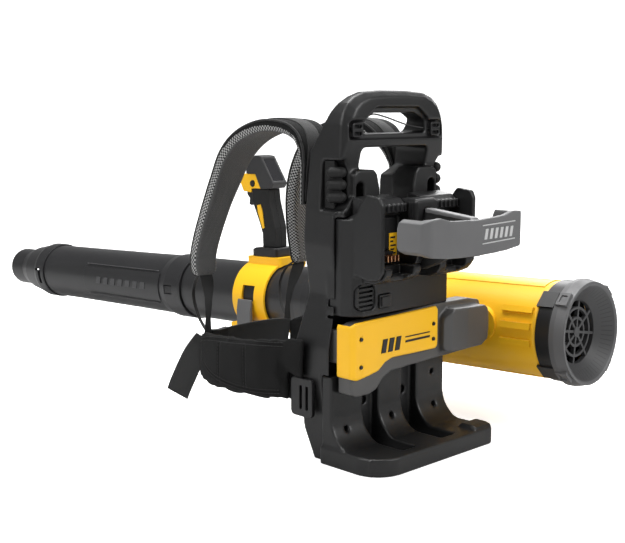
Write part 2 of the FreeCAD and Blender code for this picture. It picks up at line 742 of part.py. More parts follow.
def impeller():
    hub = turned([(0, 16), (24, 16), (26, 2), (26, -24), (20, -36), (12, -42), (0, -44)])
    blades = []
    for k in range(9):
        pitch = Rotation(Vector(0, 0, 1), -38)
        blade = placed(box(-22, 22, -1, 1, 18, 74), 0, -16, 0, pitch)
        blades.append(spun(blade, 40 * k))
    envelope = rod("Y", duct_r - 0.8, 0, -42, 0, 60)
    return cut(common(fuse(hub, *blades), envelope), rod("Y", 4.0, 0, -60, 0, 100))


blower_piece("intake_guard", intake_guard())
blower_piece("intake_collar", intake_collar())
housing = fan_housing()
blower_piece("housing_left", cut(housing, box(0, 120, -200, 300, -120, 120)))
blower_piece("housing_right", cut(housing, box(-120, 0, -200, 300, -120, 120)))
blower_piece("motor_pod", motor_pod())
blower_piece("motor_stator", ring(16, 26.98, 70, 120))
blower_piece("motor_bearings", group(ring(4.02, 8, 30.1, 37.9), ring(4.02, 8, 136, 144)))
blower_piece("tail_cone", cut(
    turned([(0, 150), (31, 150), (29, 172), (20, 196), (8, 210), (0, 212)]),
    rod("Y", 10, 0, 140, 0, 20)))
blower_piece("bearing_plate", turned([
    (8.02, 134), (27, 134), (27, 149.9), (12, 149.9), (12, 145), (8.02, 145)]))
blower_piece("motor_rotor", turned([
    (0, -30), (3.98, -30), (3.98, 72), (15.4, 72), (15.4, 118), (3.98, 118), (3.98, 143),
    (0, 143)]))
blower_piece("impeller", impeller())

# ---- tubes and nozzle ---------------------------------------------------------
tube_bore = tube_r - tube_wall


def front_tube():
    """Plugs into the rear tube and carries the nozzle."""
    core = turned([
        (55, 680), (tube_bore - 0.05, 680), (tube_bore - 0.05, 719.5), (64, 719.5),
        (64.5, 724), (64.5, 768), (60.8, 788), (59.8, 880), (58.6, 1080), (58.2, 1160),
        (58.2, 1219), (55.5, 1219), (55.5, 1245), (52.5, 1245), (52.5, 1200), (54, 1120),
        (55, 880)])
    panel_skin = turned([(50, 782), (62.3, 782), (62.3, 800), (60.9, 1048), (60.9, 1060),
                         (50, 1060)])
    side_panel = cut(common(box(-62.5, -55, 790, 1056, -33, 33), panel_skin),
                     rod("Y", 57, 0, 680, 0, 500))
    lock_window = box(-70, -50, 744, 768, -10, 8)
    return cut(fuse(core, side_panel), lock_window)


def nozzle():
    body = turned([
        (55.56, 1220.5), (60.5, 1220.5), (61.5, 1224), (61.5, 1250), (58, 1262), (50, 1310),
        (44, 1330), (tip_r, 1340), (tip_r, overall_front - 3), (tip_r - 1, overall_front),
        (tip_r - 3.5, overall_front), (tip_r - 3.5, 1338), (46.5, 1310), (54, 1262),
        (54, 1246), (55.56, 1246)])
    l_slot = [box(-66, -50, 1231.5, 1240.5, -25, 9), box(-66, -50, 1234, 1254, 4.5, 9)]
    return cut(body, *l_slot)


blower_piece("rear_tube", turned([
    (57, 232.2), (64, 232.2), (63, 380), (61, 400), (tube_r, 430), (tube_r, 717),
    (tube_bore, 718.5), (tube_bore, 430), (57, 400)]))
blower_piece("duct_seal", ring(57, 61, 226.2, 232))
blower_piece("pivot_pin", rod("X", 9.98, -104, *PIVOT, 32.8))
blower_piece("front_tube", front_tube())
blower_piece("tube_lock_button", common(box(-66, -56, 745.5, 766.5, -8.5, 6.5),
                                        ring(56.2, 63.6, 740, 772)))
blower_piece("nozzle", nozzle())

# ---- handle clamp: liner on the tube, split ring, lever and pin ---------------
clamp_bore_r = tube_r + 2.46
PIN_X, PIN_Z = -70, -52
SCREW_X, SCREW_Z = 30, 62


def clamp_ring():
    band = ring(clamp_bore_r, clamp_r, clamp_lo, clamp_hi)
    seat = slab("XY", rectangle(-26, 26, 467, 557), 58, 76, ((7, FOUR_CORNERS),))
    screw_ears = [rod("Y", 8, SCREW_X, y, SCREW_Z, 14) for y in (462, 548)]
    bore = rod("Y", clamp_bore_r, 0, 440, 0, 140)
    window = box(-80, -50, 498, 530, -4, 26)
    solid_ring = cut(fuse(band, seat, *screw_ears), bore, window)
    pin_ears = cut(fuse(box(-77, -46, 478, 496.6, -59, -44), box(-77, -46, 533.4, 550, -59, -44)),
                   bore)
    split = box(-90, -40, 440, 600, -43.8, -41)
    return cut(cut(fuse(solid_ring, pin_ears), split),
               pin_bore, rod("Y", 2, SCREW_X, 455, SCREW_Z, 120))


pin_bore = rod("Y", 3.0, PIN_X, 460, PIN_Z, 110)
blower_piece("clamp_liner", ring(tube_r + 0.06, tube_r + 2.4, 474, 553))
blower_piece("clamp_ring", clamp_ring())
lever = slab("XZ", [(-78, -58), (-62, -58), (-70, -42), (-71, -20), (-69, 0), (-74, 2),
                    (-78, -20)], 497, 533, ((2, (5,)),))
blower_piece("clamp_lever", cut(lever, pin_bore))
blower_piece("clamp_pin", rod("Y", 2.95, PIN_X, 478, PIN_Z, 72))
blower_piece("clamp_screws", group(*[rod("Y", 1.95, SCREW_X, y, SCREW_Z, 24)
                                     for y in (464, 538)]))

# ---- handle -------------------------------------------------------------------
GRIP = [  # y, z
    (488, 93.2), (523, 93.2), (523, 118), (529, 136), (538, 156), (548, 178), (549, 203),
    (503, 203), (501, 180), (494, 155), (488, 130)]
GRIP_HOLLOW = [  # y, z
    (493, 100), (518, 100), (529, 148), (542, 180), (542, 197), (508, 197), (499, 150)]
GRIP_INSERT = [(516, 130), (521, 128), (532, 158), (534, 172), (525, 174), (520, 160)]  # y, z
BUTTONS = (545, 213)  # y, z
TRIGGER_PIN = (556, 205)  # y, z


def on_pod_face(obj):
    """Lays an object on the slanting rear face of the control pod."""
    return placed(obj, 0, 502, 238.5, Rotation(Vector(1, 0, 0), 57.9))


def control_pod():
    head = slab("YZ", [
        (500, 203.2), (522, 203.2), (536, 231.2), (560, 231.2), (560, 246), (550, 260),
        (534, 266), (518, 264), (486, 213), (492, 204)],
        -pod_half, pod_half, ((6, (4,)), (5, (5,))))
    return cut(head, on_pod_face(box(-14, 14, -24, 24, -3, 8)))


def nose_cap():
    nose = slab("YZ", [
        (522.4, 203.3), (536.2, 231), (582, 231), (580, 216), (571, 198), (549.2, 196),
        (549.2, 203.3)], -16, 16, ((4, (2,)),))
    left_bore = rod("X", 6.06, -17, *BUTTONS, 10)
    right_bore = rod("X", 6.06, 7.0, *BUTTONS, 12)
    trigger_slot = slab("YZ", rectangle(549.2, 574, 190, 213), -6.6, 6.6)
    return cut(nose, left_bore, right_bore, trigger_slot, rod("X", 2.46, -14, *TRIGGER_PIN, 28))


def trigger():
    lever = slab("YZ", [
        (551, 209), (566, 209), (571.5, 200), (572, 192), (565, 184), (567, 173), (561, 171),
        (557, 178), (557, 190), (551, 197)], -6, 6, ((5, (3,)),))
    return cut(lever, rod("X", 2.52, -10, *TRIGGER_PIN, 20))


blower_piece("handle_base", common(
    slab("XY", rectangle(-24, 24, 478, 548), 76.2, 93, ((12, FOUR_CORNERS),)),
    slab("YZ", [(470, 76.2), (556, 76.2), (546, 88), (534, 93), (480, 93)], -30, 30)))
for name, side in NAMED_SIDES:
    blower_piece("grip_" + name, cut(slab("YZ", GRIP, *span(side, 0, grip_half)),
                                     slab("YZ", GRIP_HOLLOW, *span(side, -5, 11))))
blower_piece("grip_inserts", group(*[
    slab("YZ", GRIP_INSERT, *span(side, grip_half, grip_half + 1.5)) for side in SIDES]))
blower_piece("control_pod", control_pod())
blower_piece("pod_screen", on_pod_face(box(-13.8, 13.8, -23.8, 23.8, -2.9, -1.0)))
blower_piece("nose_cap", nose_cap())
blower_piece("speed_button", rod("X", 6, -17.5, *BUTTONS, 8))
blower_piece("lock_button", rod("X", 6, 9.5, *BUTTONS, 8))
blower_piece("trigger", trigger())
blower_piece("trigger_pin", rod("X", 2.45, -13.9, *TRIGGER_PIN, 27.8))

# ---- state check and export ---------------------------------------------------
doc.recompute()
problems = []
for obj in doc.Objects:
    if "Invalid" in obj.State or "Error" in obj.State:
        problems.append("%s %s %s" % (obj.Name, obj.Label, obj.State))
os.makedirs("parts", exist_ok=True)
for file_name in os.listdir("parts"):
    if file_name.endswith(".step"):
        os.remove(os.path.join("parts", file_name))
for obj in pieces:
    shape = obj.Shape
    if shape.isNull() or not shape.isValid() or not shape.Solids:
        problems.append("bad shape " + obj.Label)
        continue
    solids = shape.Solids
    result = solids[0] if len(solids) == 1 else Part.makeCompound(solids)
    result.exportStep("parts/%s.step" % obj.Label)
if problems:
    raise SystemExit("\n".join(problems))
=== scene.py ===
# A battery blower docked beside a carrying frame with shoulder straps and a hip belt.
# X runs from the wearer's left (-) to right (+), +Y is the way the wearer faces and Z is up.
# The frame stands on the floor at z = 0 and the straps reach forward from it towards +Y.
# The blower has its own slightly turned frame: inlet at its -Y end, blow tube towards +Y.
import bpy
import bmesh
import json
import math
import random
import numpy as np
from mathutils import Matrix, Vector
from mathutils.bvhtree import BVHTree


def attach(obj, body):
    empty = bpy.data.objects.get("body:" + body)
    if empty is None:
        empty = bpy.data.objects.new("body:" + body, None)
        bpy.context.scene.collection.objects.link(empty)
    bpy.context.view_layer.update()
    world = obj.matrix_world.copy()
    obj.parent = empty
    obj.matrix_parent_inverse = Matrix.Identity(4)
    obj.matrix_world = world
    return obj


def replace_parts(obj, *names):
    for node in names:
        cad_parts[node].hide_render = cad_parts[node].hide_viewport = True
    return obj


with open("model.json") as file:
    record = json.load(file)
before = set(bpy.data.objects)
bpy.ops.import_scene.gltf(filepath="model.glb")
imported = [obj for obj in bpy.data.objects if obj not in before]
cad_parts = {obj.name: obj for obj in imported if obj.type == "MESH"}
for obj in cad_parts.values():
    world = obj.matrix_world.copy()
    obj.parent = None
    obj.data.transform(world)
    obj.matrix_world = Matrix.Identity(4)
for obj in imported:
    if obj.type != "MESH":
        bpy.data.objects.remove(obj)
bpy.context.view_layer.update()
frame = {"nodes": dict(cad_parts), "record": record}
random.seed(11)
np.random.seed(11)
NODES = frame["nodes"]
scene = bpy.context.scene
SLOT = {part["node"]: part["material_slot"] for part in frame["record"]["subparts"]}

# the blower's own frame, in metres
BLOWER = (Matrix.Translation((0.257, 0.0, 0.1469))
          @ Matrix.Rotation(math.radians(1.4), 4, "Z")
          @ Matrix.Rotation(math.radians(-2.0), 4, "X"))
SIDES = (("left", -1), ("right", 1))    # name, sign of x


def mm(*values):
    """A vector in metres from millimetres."""
    return Vector([value / 1000 for value in values])


# ------------------------------------------------------------------ shader graphs
MATERIALS = {}


def opaque(colour):
    return (*colour, 1.0)


class Graph:
    """A node tree and its shader, with short calls that add nodes."""

    def __init__(self, tree, shader):
        self.tree = tree
        self.shader = tree.nodes[shader]

    def node(self, kind, **settings):
        """Adds a node; each setting is an input's value or, failing that, a property."""
        node = self.tree.nodes.new("ShaderNode" + kind)
        for key, value in settings.items():
            if key in node.inputs:
                node.inputs[key].default_value = value
            else:
                setattr(node, key, value)
        return node

    def feed(self, socket, value):
        """Links a socket to another's output, or sets it to a plain value."""
        if isinstance(value, bpy.types.NodeSocket):
            self.tree.links.new(value, socket)
        else:
            socket.default_value = value

    def shade(self, values):
        for key, value in values.items():
            self.feed(self.shader.inputs[key], value)

    def operate(self, kind, operation, values):
        node = self.node(kind, operation=operation)
        for socket, value in zip(node.inputs, values):
            self.feed(socket, value)
        return node

    def calc(self, operation, *values):
        return self.operate("Math", operation, values).outputs[0]

    def vector_calc(self, operation, *values):
        return self.operate("VectorMath", operation, values).outputs

    def wave(self, kind, value, rate):
        return self.calc(kind, self.calc("MULTIPLY", value, rate))

    def coords(self, kind):
        return self.node("TexCoord").outputs[kind]

    def split(self, vector):
        node = self.node("SeparateXYZ")
        self.feed(node.inputs[0], vector)
        return node.outputs

    def noise(self, coords, scale, detail):
        node = self.node("TexNoise", Scale=scale, Detail=detail)
        self.feed(node.inputs["Vector"], coords)
        return node.outputs["Fac"]

    def ramp(self, factor, *stops):
        """Two stops, each (position, colour)."""
        node = self.node("ValToRGB")
        for element, (position, colour) in zip(node.color_ramp.elements, stops):
            element.position = position
            element.color = opaque(colour)
        self.feed(node.inputs[0], factor)
        return node.outputs[0]

    def mix(self, factor, below, above, blend="MIX"):
        node = self.node("Mix", data_type="RGBA", blend_type=blend)
        # 6 and 7 are the colour inputs A and B
        for index, value in ((0, factor), (6, below), (7, above)):
            self.feed(node.inputs[index], value)
        return node.outputs[2]

    def remap(self, value, low, high):
        """Maps 0..1 to low..high."""
        node = self.node("MapRange", **{"To Min": low, "To Max": high})
        self.feed(node.inputs["Value"], value)
        return node.outputs[0]

    def bump(self, height, strength, distance):
        node = self.node("Bump", Strength=strength, Distance=distance)
        self.feed(node.inputs["Height"], height)
        return node


def new_material(name):
    material = bpy.data.materials.new(name)
    material.use_nodes = True
    MATERIALS[name] = material
    return Graph(material.node_tree, "Principled BSDF")


# ------------------------------------------------------------------ painted shade on plastics
def blower_coords(graph, coords, *axes):
    """Yields the shaded point's place along each given axis of the blower's frame."""
    offset = graph.vector_calc("SUBTRACT", coords, BLOWER.to_translation())[0]
    for axis in axes:
        direction = BLOWER.to_3x3() @ Vector(axis)
        yield graph.vector_calc("DOT_PRODUCT", offset, direction)["Value"]


def funnel_painted_shade(graph, coords, colour):
    """Painted shade: the recessed inlet cone is painted darker than its rim, where shade falls,
    and it carries fine flutes drawn as darker lines.
    """
    cone_radius = 0.0712
    cone_back = -0.1405         # the cone lies on the -Y side of this
    flute_inner, flute_outer = 0.056, 0.0685
    flute_count = 56.0
    flute_cut = 0.86            # a higher cut gives narrower flutes
    # cone_shade is the painted shade over the recessed cone; flute_shade darkens the flute lines
    cone_shade, flute_shade = -0.42, 0.22
    x, y, z = blower_coords(graph, coords, (1, 0, 0), (0, 1, 0), (0, 0, 1))
    calc = graph.calc
    radius = calc("SQRT", calc("ADD", calc("MULTIPLY", x, x), calc("MULTIPLY", z, z)))
    cone = calc("MULTIPLY", calc("LESS_THAN", radius, cone_radius),
                calc("LESS_THAN", y, cone_back))
    # mask of the painted shade: the whole cone within its radius
    cone_shade_mask = calc("LESS_THAN", radius, cone_radius)
    flutes = graph.wave("SINE", calc("ARCTAN2", z, x), flute_count)
    line = calc("GREATER_THAN", flutes, flute_cut)
    band = calc("MULTIPLY",
                calc("MULTIPLY", line, calc("GREATER_THAN", radius, flute_inner)),
                calc("MULTIPLY", cone, calc("LESS_THAN", radius, flute_outer)))
    shade = calc("SUBTRACT", calc("MULTIPLY_ADD", cone_shade_mask, cone_shade, 1.0),
                 calc("MULTIPLY", band, flute_shade))
    return graph.mix(1.0, colour, shade, blend="MULTIPLY")


def web_painted_shade(graph, coords, colour):
    """Painted shade: the central web, under its thin flange, is painted dark where the flange
    shades it.
    """
    half_width = 0.0066
    back = -0.1425
    flange_slope, flange_height = 0.1, 0.3530   # underside of the flange, z against y
    x, y, z = graph.split(coords)
    calc = graph.calc
    near = calc("LESS_THAN", calc("ABSOLUTE", x), half_width)
    ahead = calc("GREATER_THAN", y, back)
    level = calc("ADD", calc("MULTIPLY", y, flange_slope), flange_height)
    under = calc("LESS_THAN", z, level)
    painted_shade_mask = calc("MULTIPLY", calc("MULTIPLY", near, ahead), under)
    # painted shade: near-black over the web below the flange
    return graph.mix(painted_shade_mask, colour, opaque((0.014, 0.014, 0.014)))


def bore_painted_shade(graph, coords, colour):
    """Painted shade in the duct: near-black within this radius of the fan axis, where the bore
    lies in shade.
    """
    bore_radius = 0.0716
    squares = [graph.calc("MULTIPLY", along, along)
               for along in blower_coords(graph, coords, (1, 0, 0), (0, 0, 1))]
    radius = graph.calc("SQRT", graph.calc("ADD", *squares))
    painted_shade_mask = graph.calc("LESS_THAN", radius, bore_radius)
    # painted shade: near-black over the bore's surfaces
    return graph.mix(painted_shade_mask, colour, opaque((0.010, 0.010, 0.010)))


# ------------------------------------------------------------------ kinds of material
def plastic(name, colour, rough, grain=0.30, grain_scale=1500.0, spec=0.45, coat=0.0,
            wear=0.0, bevel=0.0007, vary=0.10, painted_shade_tone=None):
    """Moulded plastic: fine grain, slight tone drift, softly rounded edges, rubbed corners, and
    optional painted shade.
    """
    graph = new_material(name)
    coords = graph.coords("Object")
    drift = graph.noise(coords, scale=9.0, detail=3.0)
    base = Vector(colour)
    tone = graph.ramp(drift, (0.3, base * (1 - vary)),
                      (0.7, [min(1.0, v * (1 + vary)) for v in base]))
    if wear > 0:
        corner = graph.node("NewGeometry").outputs["Pointiness"]
        scuff = graph.noise(coords, scale=160.0, detail=4.0)
        edge = graph.ramp(corner, (0.52, (0, 0, 0)), (0.60, (1, 1, 1)))
        amount = graph.calc("MULTIPLY", graph.calc("MULTIPLY", edge, scuff), wear)
        rubbed = [min(1.0, v * 1.6 + 0.06) for v in base]
        tone = graph.mix(amount, tone, opaque(rubbed))
    # painted shade laid over the colour, where given
    if painted_shade_tone:
        tone = painted_shade_tone(graph, coords, tone)
    graph.shade({
        "Base Color": tone,
        "Roughness": graph.remap(drift, rough - 0.05, rough + 0.06),
        "Specular IOR Level": spec,
        "Coat Weight": coat,
        "Coat Roughness": 0.25,
    })
    fine = graph.noise(coords, scale=grain_scale, detail=2.0)
    relief = graph.bump(fine, strength=grain, distance=0.0003)
    if bevel > 0:
        rounded = graph.node("Bevel", samples=3, Radius=bevel)
        graph.feed(relief.inputs["Normal"], rounded.outputs[0])
    graph.shade({"Normal": relief.outputs[0]})


def metal(name, colour, rough):
    """Brushed metal: noise drawn out along X."""
    graph = new_material(name)
    coords = graph.coords("Object")
    stretch = graph.node("Mapping", Scale=(60, 1400, 1400))
    graph.feed(stretch.inputs["Vector"], coords)
    streaks = graph.noise(stretch.outputs[0], scale=1.0, detail=3.0)
    graph.shade({
        "Base Color": opaque(colour),
        "Metallic": 1.0,
        "Roughness": graph.remap(streaks, rough - 0.08, rough + 0.10),
        "Normal": graph.bump(streaks, strength=0.06, distance=0.0002).outputs[0],
    })


def woven_height(graph, across, along):
    """Two crossing waves multiplied together and brought to 0..1."""
    return graph.calc("MULTIPLY_ADD", graph.calc("MULTIPLY", across, along), 0.5, 0.5)


def weave(name, dark, light, pitch, sheen):
    """Plain woven nylon on object coordinates: crossing threads, over and under."""
    graph = new_material(name)
    coords = graph.coords("Object")
    x, y, z = graph.split(coords)
    rate = math.tau / pitch
    weft = graph.wave("SINE", graph.calc("ADD", x, y), rate)
    warp = graph.wave("SINE", z, rate)
    height = woven_height(graph, weft, warp)
    drift = graph.noise(coords, scale=22.0, detail=4.0)
    shade = graph.calc("MULTIPLY", height, drift)
    graph.shade({
        "Base Color": graph.ramp(shade, (0.05, dark), (0.75, light)),
        "Roughness": 0.85,
        "Sheen Weight": sheen,
        "Specular IOR Level": 0.3,
    })
    threads = graph.bump(height, strength=0.5, distance=0.0004)
    wrinkles = graph.bump(drift, strength=0.25, distance=0.004)
    graph.feed(wrinkles.inputs["Normal"], threads.outputs[0])
    graph.shade({"Normal": wrinkles.outputs[0]})


def dots_height(graph, u, v, rate):
    squeeze = 0.8       # v against u
    waves = [graph.wave("COSINE", graph.calc(sign, u, graph.calc("MULTIPLY", v, squeeze)), rate)
             for sign in ("ADD", "SUBTRACT")]
    return graph.calc("MULTIPLY_ADD", graph.calc("ADD", *waves), 0.25, 0.5)


def chevron_height(graph, u, v, rate):
    column = 0.011      # width of one column, before the ribs turn back
    rib_slope, cross_slope, cross_weight = 1.3, 0.8, 0.35
    fold = graph.calc("PINGPONG", v, column)
    ribs = graph.wave(
        "SINE", graph.calc("ADD", u, graph.calc("MULTIPLY", fold, rib_slope)), rate)
    cross = graph.wave(
        "SINE", graph.calc("SUBTRACT", u, graph.calc("MULTIPLY", fold, cross_slope)), rate * 2.0)
    both = graph.calc("ADD", ribs, graph.calc("MULTIPLY", cross, cross_weight))
    return graph.calc("MULTIPLY_ADD", both, 0.37, 0.5)


def fine_height(graph, u, v, rate):
    waves = [graph.wave("SINE", graph.calc(sign, u, v), rate) for sign in ("ADD", "SUBTRACT")]
    return woven_height(graph, *waves)


def spacer(name, pattern, dark_stop, light_stop, pitch):
    """Spacer mesh on UVs in metres; each stop is (height, colour)."""
    graph = new_material(name)
    u, v = graph.split(graph.coords("UV"))[:2]
    height = pattern(graph, u, v, math.tau / pitch)
    graph.shade({
        "Base Color": graph.ramp(height, dark_stop, light_stop),
        "Roughness": 0.8,
        "Sheen Weight": 0.1,
        "Specular IOR Level": 0.3,
        "Normal": graph.bump(height, strength=0.8, distance=0.0010).outputs[0],
    })


def webbing(name, dark, light):
    """Woven webbing on UVs in metres: fine ribs both ways."""
    pitch_along, pitch_across = 0.0016, 0.0024
    graph = new_material(name)
    u, v = graph.split(graph.coords("UV"))[:2]
    ribs = graph.wave("SINE", u, math.tau / pitch_along)
    cross = graph.wave("SINE", v, math.tau / pitch_across)
    height = woven_height(graph, ribs, cross)
    graph.shade({
        "Base Color": graph.ramp(height, (0.1, dark), (0.9, light)),
        "Roughness": 0.75,
        "Sheen Weight": 0.1,
        "Normal": graph.bump(height, strength=0.5, distance=0.0005).outputs[0],
    })


# ------------------------------------------------------------------ materials
YELLOW = (0.90, 0.49, 0.012)
GLOSSY_YELLOW = dict(rough=0.38, grain=0.08, spec=0.38, coat=0.04, vary=0.03)
MARK = dict(rough=0.45, grain=0.1, spec=0.4, vary=0.03)

plastic("frame_plastic", (0.0080, 0.0080, 0.0083), rough=0.40, wear=0.06)
plastic("dock_plastic", (0.0090, 0.0090, 0.0094), rough=0.38, wear=0.05)
plastic("dark_plastic", (0.009, 0.009, 0.0095), rough=0.38, grain=0.18, grain_scale=1800)
plastic("tube_plastic", (0.014, 0.014, 0.0150), rough=0.34, grain=0.06, grain_scale=900,
        spec=0.50, coat=0.10, vary=0.06)
plastic("yellow_plastic", YELLOW, **GLOSSY_YELLOW)
# yellow housing, with painted shade in its duct
plastic("housing_yellow", YELLOW, painted_shade_tone=bore_painted_shade, **GLOSSY_YELLOW)
plastic("grey_plastic", (0.100, 0.100, 0.102), rough=0.46, spec=0.40, wear=0.05)
plastic("rubber", (0.009, 0.009, 0.009), rough=0.60, grain=0.45, grain_scale=1100, spec=0.30)
plastic("board", (0.02, 0.10, 0.05), rough=0.4, grain=0.2, grain_scale=600, spec=0.4)
plastic("screen", (0.008, 0.008, 0.010), rough=0.14, grain=0.02, grain_scale=800, spec=0.6,
        coat=0.5, vary=0.02)
plastic("pod_grey", (0.024, 0.024, 0.025), rough=0.44)
plastic("arm_grey", (0.070, 0.069, 0.068), rough=0.42, grain=0.25)
plastic("guard_grey", (0.092, 0.092, 0.094), rough=0.46, grain=0.25, spec=0.42,
        painted_shade_tone=funnel_painted_shade)
plastic("bumper_grey", (0.120, 0.120, 0.122), rough=0.48, spec=0.40, painted_shade_tone=web_painted_shade)
plastic("mark_dark", (0.012, 0.012, 0.012), **MARK)
plastic("mark_light", (0.50, 0.50, 0.50), **MARK)
plastic("cord", (0.05, 0.05, 0.05), rough=0.6, grain=0.2, grain_scale=3000, spec=0.3,
        bevel=0, vary=0.03)
# lighter than the tube; on the panel lips this lighter colour is a painted highlight
plastic("tube_relief_and_highlight", (0.050, 0.050, 0.052), rough=0.36, grain=0.1, spec=0.4, vary=0.03)
metal("steel", (0.55, 0.55, 0.56), rough=0.30)
metal("dark_steel", (0.06, 0.06, 0.06), rough=0.42)
metal("copper", (0.72, 0.38, 0.20), rough=0.32)
weave("nylon_fabric", (0.0016, 0.0016, 0.0016), (0.006, 0.006, 0.006), pitch=0.0009, sheen=0.0)
weave("nylon_inner", (0.010, 0.010, 0.010), (0.030, 0.030, 0.030), pitch=0.0014, sheen=0.15)
spacer("mesh_dots", dots_height, (0.42, (0.006, 0.006, 0.006)), (0.62, (0.36, 0.36, 0.355)),
       pitch=0.0056)
spacer("mesh_chevron", chevron_height, (0.35, (0.004, 0.004, 0.004)),
       (0.85, (0.24, 0.24, 0.24)), pitch=0.0058)
spacer("mesh_fabric", fine_height, (0.25, (0.030, 0.030, 0.030)), (0.85, (0.17, 0.17, 0.17)),
       pitch=0.0034)
webbing("webbing", (0.0022, 0.0022, 0.0022), (0.010, 0.010, 0.010))
plastic("thread", (0.035, 0.035, 0.035), rough=0.7, grain_scale=3000, spec=0.3, bevel=0)

# pieces whose material differs from their slot
OWN_MATERIAL = dict(
    battery_bumper="bumper_grey", support_arm="arm_grey", control_pod="pod_grey",
    intake_guard="guard_grey", clamp_lever="grey_plastic",
    housing_left="housing_yellow", housing_right="housing_yellow")


def material_of(node):
    return MATERIALS[OWN_MATERIAL.get(node, SLOT[node])]


for name, piece in NODES.items():
    piece.data.materials.clear()
    piece.data.materials.append(material_of(name))

BODY = {}
for body, info in frame["record"]["behaviour"]["bodies"].items():
    for member in info if isinstance(info, list) else info.get("nodes", []):
        BODY[member] = body


# ------------------------------------------------------------------ mesh helpers
def add(name, mesh, body, slot, *materials):
    """Adds a finished piece; materials are names or materials."""
    piece = bpy.data.objects.new(name, mesh)
    scene.collection.objects.link(piece)
    # left alone when empty, so that face material indices set beforehand survive
    if len(mesh.materials):
        mesh.materials.clear()
    for material in materials:
        mesh.materials.append(MATERIALS[material] if isinstance(material, str) else material)
    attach(piece, body)
    return piece


def evaluated(piece):
    depsgraph = bpy.context.evaluated_depsgraph_get()
    depsgraph.update()
    return bpy.data.meshes.new_from_object(piece.evaluated_get(depsgraph))


def scratch(mesh):
    piece = bpy.data.objects.new("scratch", mesh)
    scene.collection.objects.link(piece)
    return piece


def discard(piece):
    mesh = piece.data
    bpy.data.objects.remove(piece)
    if mesh.users == 0:
        bpy.data.meshes.remove(mesh)


def smooth(mesh):
    mesh.polygons.foreach_set("use_smooth", [True] * len(mesh.polygons))
    mesh.update()


def remeshed(node, voxel, rounds, matrix=None):
    """A welded copy of a CAD piece, rebuilt in even voxels and smoothed."""
    mesh = NODES[node].data.copy()
    if matrix is not None:
        mesh.transform(matrix)
    bm = bmesh.new()
    bm.from_mesh(mesh)
    bmesh.ops.remove_doubles(bm, verts=bm.verts, dist=2e-6)
    bm.to_mesh(mesh)
    bm.free()
    piece = scratch(mesh)
    remesh = piece.modifiers.new("remesh", "REMESH")
    remesh.mode = "VOXEL"
    remesh.voxel_size = voxel
    relax = piece.modifiers.new("smooth", "SMOOTH")
    relax.factor = 0.5
    relax.iterations = rounds
    result = evaluated(piece)
    discard(piece)
    return result


def catmull(points, per):
    """A smooth curve through the points, with per steps to each span."""
    points = [Vector(p) for p in points]
    curve = []
    for i in range(len(points) - 1):
        p0 = points[max(i - 1, 0)]
        p1, p2 = points[i], points[i + 1]
        p3 = points[min(i + 2, len(points) - 1)]
        for step in range(per):
            t = step / per
            curve.append(0.5 * ((2 * p1) + (-p0 + p2) * t
                                + (2 * p0 - 5 * p1 + 4 * p2 - p3) * t * t
                                + (-p0 + 3 * p1 - 3 * p2 + p3) * t ** 3))
    curve.append(points[-1].copy())
    return curve


def spread(values, count):
    """Evenly spaced values, interpolated to a new count."""
    return np.interp(np.linspace(0, len(values) - 1, count), range(len(values)), values)


def tangent(path, i):
    return (path[min(i + 1, len(path) - 1)] - path[max(i - 1, 0)]).normalized()


def cross_axes(path, i, width_dir):
    """The width and thickness directions, square to the path."""
    along = tangent(path, i)
    width = (width_dir - along * width_dir.dot(along)).normalized()
    return width, along.cross(width)


def gap(a, b):
    return math.hypot(b[0] - a[0], b[1] - a[1])


def sweep(name, path, width_dirs, profile_at, zone_at=lambda ring, point: 0):
    """Sweeps a closed profile, capped at both ends, with UVs in metres.

    profile_at(ring) gives [(across, thickness)], the same count each time;
    zone_at(ring, point) gives the material index of a face.
    """
    rings = len(path)
    count = len(profile_at(0))
    verts, along, around = [], [], []
    length = 0.0
    for i, centre in enumerate(path):
        if i:
            length += (centre - path[i - 1]).length
        along.append(length)
        width, normal = cross_axes(path, i, width_dirs[i])
        profile = profile_at(i)
        girth = [0.0]
        for j, (a, b) in enumerate(profile):
            verts.append(centre + width * a + normal * b)
            girth.append(girth[-1] + gap((a, b), profile[(j + 1) % count]))
        around.append(girth)
    faces, uvs, zones = [], [], []
    for i in range(rings - 1):
        for j in range(count):
            k = (j + 1) % count
            here, there = i * count, (i + 1) * count
            faces.append((here + j, there + j, there + k, here + k))
            uvs += [(along[i], around[i][j]), (along[i + 1], around[i + 1][j]),
                    (along[i + 1], around[i + 1][j + 1]), (along[i], around[i][j + 1])]
            zones.append(zone_at(i, j))
    faces.append(tuple(range(count)))
    faces.append(tuple(reversed(range((rings - 1) * count, rings * count))))
    uvs += list(profile_at(0)) + list(reversed(profile_at(rings - 1)))
    zones += [zones[0], zones[-1]]
    mesh = bpy.data.meshes.new(name)
    mesh.from_pydata([tuple(v) for v in verts], [], faces)
    layer = mesh.uv_layers.new(name="UVMap")
    layer.data.foreach_set("uv", [c for uv in uvs for c in uv])
    mesh.polygons.foreach_set("material_index", zones)
    smooth(mesh)
    bm = bmesh.new()
    bm.from_mesh(mesh)
    bmesh.ops.recalc_face_normals(bm, faces=bm.faces)
    bm.to_mesh(mesh)
    bm.free()
    return mesh


